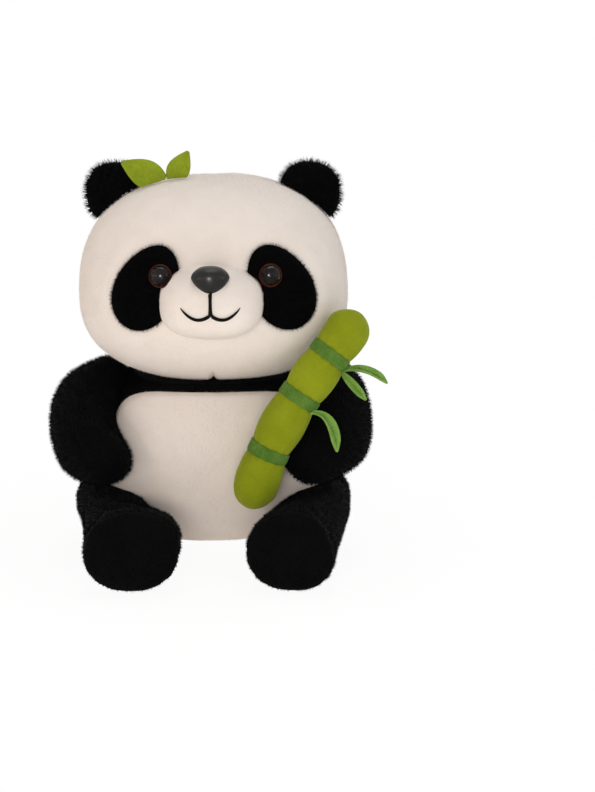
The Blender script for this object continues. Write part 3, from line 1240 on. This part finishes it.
slant = node(stitching, 'ShaderNodeCombineXYZ', {"Z": taken.outputs["Slant"]})
turned_in = node(stitching, 'FunctionNodeEulerToRotation', {0: slant.outputs[0]})
slanted = node(stitching, 'FunctionNodeRotateRotation', {"Rotation": lying.outputs[0], "Rotate By": turned_in.outputs[0]},
               rotation_space='LOCAL')
thread = node(stitching, 'GeometryNodeMeshUVSphere', {"Segments": 6, "Rings": 6, "Radius": 0.5})
share = node(stitching, 'GeometryNodeInputNamedAttribute', {"Name": "width"}, data_type='FLOAT')
wide = node(stitching, 'ShaderNodeMath', {0: taken.outputs["Stitch Width"], 1: share.outputs["Attribute"]},
            operation='MULTIPLY')
size = node(stitching, 'ShaderNodeCombineXYZ', {"X": taken.outputs["Thread"], "Y": wide.outputs[0],
                                                "Z": taken.outputs["Thread"]})
threads = node(stitching, 'GeometryNodeInstanceOnPoints',
               {"Points": evenly.outputs[0], "Instance": thread.outputs["Mesh"], "Rotation": slanted.outputs[0],
                "Scale": size.outputs[0]})
real = node(stitching, 'GeometryNodeRealizeInstances', {"Geometry": threads.outputs[0]})
finished = node(stitching, 'GeometryNodeSetMaterial', {"Geometry": real.outputs[0], "Material": taken.outputs["Material"]})
stitching.links.new(finished.outputs[0], given.inputs["Geometry"])
print("stitch tree nodes:", len(stitching.nodes))

# %% Mouth
nose_bottom = nose_z - 0.0075
mouth_z = nose_bottom - 0.0114
share = np.linspace(0.0, 1.0, 40)
arc_x = 0.0009 + (0.01625 - 0.0009) * share
arc_z = mouth_z - 0.0030 * np.sin(math.pi * share) ** 0.8 + 0.0040 * share ** 2
upright_width = 1.0 + 0.45 * share ** 4 + 0.25 * (1.0 - share) ** 6
smile_width = (1.1 - 0.5 * share ** 2) * (1.0 - share ** 12) + 0.15
MOUTH = {"philtrum_stitch": (np.zeros(40), np.linspace(nose_bottom + 0.0006, mouth_z, 40), upright_width, 0.0023),
         "left_smile_stitch": (arc_x, arc_z, smile_width, 0.0021),
         "right_smile_stitch": (-arc_x, arc_z, smile_width, 0.0021)}
for name, (x, z, widths, width) in MOUTH.items():
    skin = MUZZLE.front(x, z)
    normals = MUZZLE.normal(skin)
    guide_mesh = bpy.data.meshes.new(f"{name}_guide")
    guide_mesh.from_pydata((skin + normals * 0.0005).tolist(), [(index, index + 1) for index in range(39)], [])
    guide_mesh.attributes.new("out", 'FLOAT_VECTOR', 'POINT').data.foreach_set("vector", normals.ravel())
    guide_mesh.attributes.new("width", 'FLOAT', 'POINT').data.foreach_set("value", widths.astype(np.float32))
    guide = bpy.data.objects.new(f"{name}_guide", guide_mesh)
    mesh = grown(guide, stitching, {"Spacing": 0.00034, "Stitch Width": width, "Thread": 0.0008, "Slant": 0.5,
                                    "Material": THREAD})
    mesh.name = name
    mesh.shade_smooth()
    made = bpy.data.objects.new(name, mesh)
    scene.collection.objects.link(made)
    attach(made, "head")
    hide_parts(name)
    print(name, "triangles:", sum(len(face.vertices) - 2 for face in mesh.polygons))

# %% [markdown]
# ## Geometry Nodes for pile
# Plush is woven with pile that stands up from its ground. Hair particles would be lost in the export, so a
# tree spreads thin pointed strands over a form and turns them to its normal with a little lean. An attribute
# on the form says where pile is full, and where it is left short because a neighbour lies against it.

# %% The pile tree
pile, taken, given = geometry_tree("Plush pile", [
    ("Density", 'NodeSocketFloat'), ("Length", 'NodeSocketFloat'), ("Thickness", 'NodeSocketFloat'),
    ("Droop", 'NodeSocketFloat'), ("Spread", 'NodeSocketFloat'), ("Tuft Scale", 'NodeSocketFloat'),
    ("Seed", 'NodeSocketInt'),
    ("Material", 'NodeSocketMaterial')])
fullness = node(pile, 'GeometryNodeInputNamedAttribute', {"Name": "pile"}, data_type='FLOAT')
dense = node(pile, 'ShaderNodeMath', {0: taken.outputs["Density"], 1: fullness.outputs["Attribute"]}, operation='MULTIPLY')
roots = node(pile, 'GeometryNodeDistributePointsOnFaces', {"Mesh": taken.outputs["Geometry"], "Density": dense.outputs[0],
                                                           "Seed": taken.outputs["Seed"]})
stray = node(pile, 'FunctionNodeRandomValue', {0: (-1.0, -1.0, -1.0), 1: (1.0, 1.0, 1.0), "Seed": taken.outputs["Seed"]},
             data_type='FLOAT_VECTOR')
stray = node(pile, 'ShaderNodeVectorMath', {0: stray.outputs[0], "Scale": taken.outputs["Spread"]}, operation='SCALE')
fall = node(pile, 'ShaderNodeVectorMath', {0: (0.0, 0.0, -1.0), "Scale": taken.outputs["Droop"]}, operation='SCALE')
into = node(pile, 'ShaderNodeVectorMath', {0: fall.outputs[0], 1: roots.outputs["Normal"]}, operation='DOT_PRODUCT')
into = node(pile, 'ShaderNodeVectorMath', {0: roots.outputs["Normal"], "Scale": into.outputs["Value"]}, operation='SCALE')
fall = node(pile, 'ShaderNodeVectorMath', {0: fall.outputs[0], 1: into.outputs[0]}, operation='SUBTRACT')
lean = node(pile, 'ShaderNodeVectorMath', {0: stray.outputs[0], 1: fall.outputs[0]}, operation='ADD')
tuft = node(pile, 'ShaderNodeTexNoise', {"Scale": taken.outputs["Tuft Scale"], "Detail": 1.0})
tuft = node(pile, 'ShaderNodeVectorMath', {0: tuft.outputs["Color"], 1: (0.5, 0.5, 0.5)}, operation='SUBTRACT')
tuft = node(pile, 'ShaderNodeVectorMath', {0: tuft.outputs[0], "Scale": 1.5}, operation='SCALE')
lean = node(pile, 'ShaderNodeVectorMath', {0: lean.outputs[0], 1: tuft.outputs[0]}, operation='ADD')
comb = node(pile, 'GeometryNodeInputNamedAttribute', {"Name": "comb"}, data_type='FLOAT_VECTOR')
lean = node(pile, 'ShaderNodeVectorMath', {0: lean.outputs[0], 1: comb.outputs["Attribute"]}, operation='ADD')
lean = node(pile, 'ShaderNodeVectorMath', {0: lean.outputs[0], 1: roots.outputs["Normal"]}, operation='ADD')
turn = node(pile, 'FunctionNodeAlignRotationToVector', {"Vector": lean.outputs[0]}, axis='Z')
strand = node(pile, 'GeometryNodeMeshCone', {"Vertices": 3, "Radius Bottom": 1.0, "Radius Top": 0.0, "Depth": 1.0},
              fill_type='NGON')
tall = node(pile, 'FunctionNodeRandomValue', {2: 0.55, 3: 1.0, "Seed": taken.outputs["Seed"]}, data_type='FLOAT')
tall = node(pile, 'ShaderNodeMath', {0: tall.outputs[1], 1: taken.outputs["Length"]}, operation='MULTIPLY')
tall = node(pile, 'ShaderNodeMath', {0: tall.outputs[0], 1: fullness.outputs["Attribute"]}, operation='MULTIPLY')
size = node(pile, 'ShaderNodeCombineXYZ', {"X": taken.outputs["Thickness"], "Y": taken.outputs["Thickness"], "Z": tall.outputs[0]})
strands = node(pile, 'GeometryNodeInstanceOnPoints', {"Points": roots.outputs["Points"], "Instance": strand.outputs["Mesh"],
                                                      "Rotation": turn.outputs[0], "Scale": size.outputs[0]})
real = node(pile, 'GeometryNodeRealizeInstances', {"Geometry": strands.outputs[0]})
finished = node(pile, 'GeometryNodeSetMaterial', {"Geometry": real.outputs[0], "Material": taken.outputs["Material"]})
pile.links.new(finished.outputs[0], given.inputs["Geometry"])
print("pile tree nodes:", len(pile.nodes))

# %% Pile on the black and white plush
BODY_OF = {"torso": "torso", "belly": "torso", "tail": "torso", "head": "head", "muzzle": "head", "left_patch": "head", "right_patch": "head"}
for label in EYES:
    BODY_OF[f"{label}_ear"] = f"{label}_ear"
    BODY_OF[f"{label}_arm"] = f"{label}_arm"
    BODY_OF[f"{label}_leg"] = f"{label}_leg"
    BODY_OF[f"{label}_sole"] = f"{label}_leg"
for name in FORMS:
    if name.startswith(("stalk_", "ribbon_")):
        BODY_OF[name] = "left_arm"
TREES = {name: BVHTree.FromPolygons(points.tolist(), faces) for name, (points, faces) in FORMS.items()}


def stops(body, other):
    """Where a body's hinge stands as it passes another body: its limits and halfway."""
    if body not in HINGES or HINGES.get(other, {}).get("parent") == body:
        return [0.0]
    return np.linspace(*HINGES[body]["range_deg"], 3)


def room_beside(name, points):
    """Distance from each point to the nearest form on another body, over the travel of both."""
    own = BODY_OF[name]
    reach = np.full(len(points), 1.0)
    for other, tree in TREES.items():
        body = BODY_OF[other]
        if body == own or min(tree.find_nearest(point)[3] for point in points[::60].tolist()) > 0.03:
            continue
        for here in stops(own, body):
            moved = swung(points, own, here) if own in HINGES else points
            for there in stops(body, own):
                met = swung(moved, body, -there) if body in HINGES else moved
                found = [tree.find_nearest(point, 0.006)[3] for point in met.tolist()]
                reach = np.minimum(reach, [1.0 if distance is None else distance for distance in found])
    return reach


def add_pile(name, look, density, length, thickness, droop=0.25, spread=0.35, keep=None, clear=(0.0006, 0.004)):
    points, faces = FORMS[name]
    fullness = smooth_step(room_beside(name, points), *clear)
    if keep is not None:
        fullness = fullness * keep(points)
    mesh = bpy.data.meshes.new(f"{name}_ground")
    mesh.from_pydata(points.tolist(), [], faces)
    mesh.attributes.new("pile", 'FLOAT', 'POINT').data.foreach_set("value", fullness.astype(np.float32))
    comb = COMBS.get(name, np.zeros_like(points)).astype(np.float32)
    mesh.attributes.new("comb", 'FLOAT_VECTOR', 'POINT').data.foreach_set("vector", comb.ravel())
    guide = bpy.data.objects.new(f"{name}_ground", mesh)
    made_mesh = grown(guide, pile, {"Density": density, "Length": length, "Thickness": thickness, "Droop": droop,
                                    "Spread": spread, "Tuft Scale": 260.0, "Seed": 7, "Material": look})
    made_mesh.name = f"{name}_pile"
    made = bpy.data.objects.new(f"{name}_pile", made_mesh)
    scene.collection.objects.link(made)
    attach(made, BODY_OF[name])
    print(made.name, "strands:", len(made_mesh.vertices) // 4)
    return made


def off_panel(points):
    share = belly_share(points[:, 0], points[:, 2])
    hidden = (share < 1.01) & (points[:, 1] < -0.004)
    shoulder = smooth_step(points[:, 2], 0.092, 0.100) * smooth_step(np.abs(points[:, 0]), 0.034, 0.044)
    neckline = 0.6 * smooth_step(points[:, 2], 0.0965, 0.1005)
    longer = 1.0 + 1.6 * np.maximum(shoulder, neckline)
    return np.where(hidden | (points[:, 2] < 0.002) | (points[:, 2] > 0.1036), 0.0, longer)


def off_ground(points):
    return smooth_step(points[:, 2], 0.0005, 0.003)


def off_face(points):
    keep = smooth_step(points[:, 2], HEAD_BOTTOM + 0.0001, HEAD_BOTTOM + 0.0008)
    for side in EYES.values():
        rim = np.where(points[:, 1] < 0.0, patch_share(points, side), 9.0)
        keep = keep * smooth_step(rim, 0.96, 1.04)
    out, share = MUZZLE.inward(points.copy())
    return keep * smooth_step(share, 1.0, 1.06)


def off_features(points):
    """Clear of the nose, the mouth and the skin that lies on the head."""
    keep = smooth_step(HEAD.inward(points.copy())[1], 1.004, 1.02)
    nose_share = np.hypot(points[:, 0] / 0.0113, (points[:, 2] - nose_z) / 0.0080)
    keep = keep * smooth_step(nose_share, 1.0, 1.12)
    for x, z, _, width in MOUTH.values():
        near = np.hypot(points[:, :1] - x[None], points[:, 2:] - z[None]).min(axis=1)
        keep = keep * smooth_step(near, width * 0.4, width * 0.8)
    return keep


def off_eye(points):
    keep = np.ones(len(points))
    for place in EYE_PLACES.values():
        keep = keep * smooth_step(np.linalg.norm(points - place, axis=1), 0.0066, 0.0080)
    return keep


def above_ground(points):
    return smooth_step(points[:, 2], 0.001, 0.004)


print("places without pile marked")

# %% Pile on every plush piece
add_pile("torso", BLACK_PLUSH, 6.0e5, 0.0018, 0.00016, keep=off_panel, clear=(0.0, 0.0014))
add_pile("tail", BLACK_PLUSH, 9.0e5, 0.0024, 0.00016)
add_pile("head", WHITE_PLUSH, 8.8e5, 0.0012, 0.00009, 1.6, 0.5, off_face, (0.0002, 0.002))
add_pile("muzzle", WHITE_PLUSH, 2.4e6, 0.0008, 0.00007, 1.6, 0.5, off_features)
add_pile("belly", WHITE_PLUSH, 1.8e6, 0.0012, 0.00008, 1.6, 0.5, above_ground)
for label in EYES:
    add_pile(f"{label}_ear", BLACK_PLUSH, 1.0e6, 0.0042, 0.00019, droop=0.0, clear=(0.0, 0.0018))
    add_pile(f"{label}_arm", BLACK_PLUSH, 8.0e5, 0.0026, 0.00016, clear=(0.0, 0.0026))
    add_pile(f"{label}_leg", BLACK_PLUSH, 7.0e5, 0.0018, 0.00016, keep=off_ground)
    add_pile(f"{label}_sole", BLACK_PLUSH, 7.0e5, 0.0013, 0.00016, keep=off_ground)
    add_pile(f"{label}_patch", BLACK_PLUSH, 2.6e6, 0.0023, 0.00015, droop=0.0, keep=off_eye)
